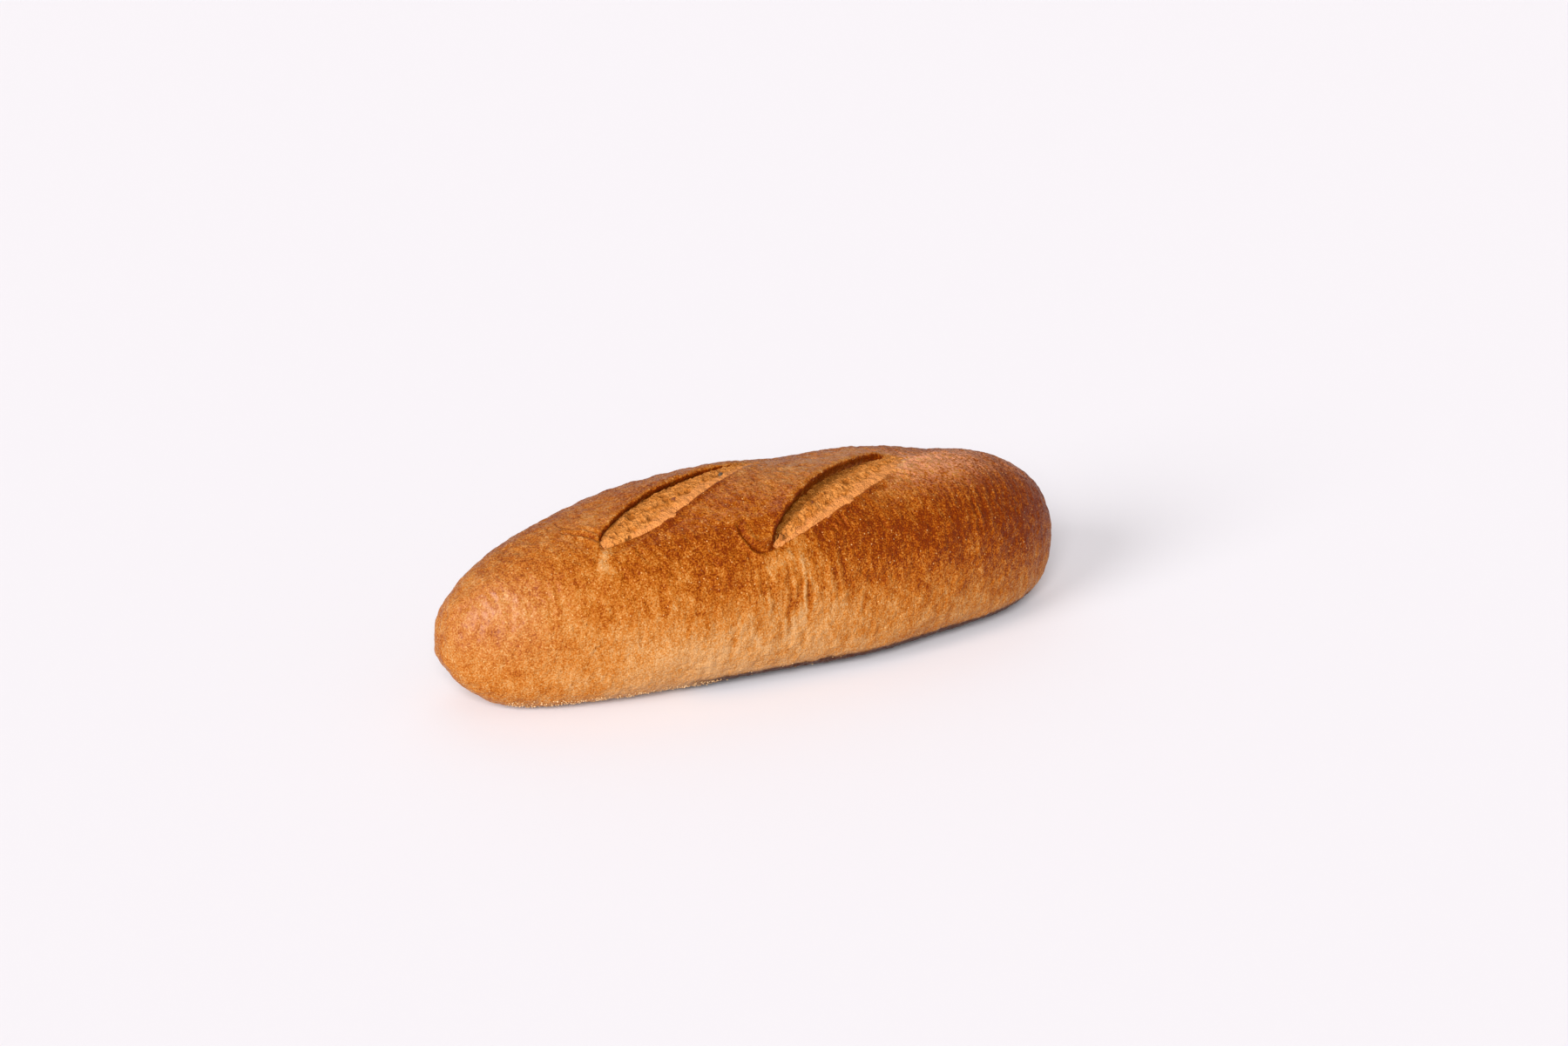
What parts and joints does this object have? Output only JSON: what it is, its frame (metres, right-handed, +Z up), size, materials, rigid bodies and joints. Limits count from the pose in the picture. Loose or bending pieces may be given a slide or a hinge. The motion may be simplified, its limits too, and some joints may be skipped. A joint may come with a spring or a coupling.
{
  "type": "bread roll",
  "caption": "Long oval bread roll with a domed browned crust, slanting scores that open across its crest and a flat base",
  "frame": {"origin": "middle of the flat base, at the bottom centre of the roll's box", "axes": "+X along the roll towards its blunter end, +Y across it, +Z up; the scores' raised lips face -Y and their near ends lie on the -Y side"},
  "size_m": [0.185, 0.0659, 0.0509],
  "materials": {
    "crust": "baked crust, golden to deep brown, softly glossy with a fine crinkled skin; the open scores show dry tan crumb"
  },
  "bodies": {
    "root": {"bread_roll": "crust"}
  },
  "joints": []
}
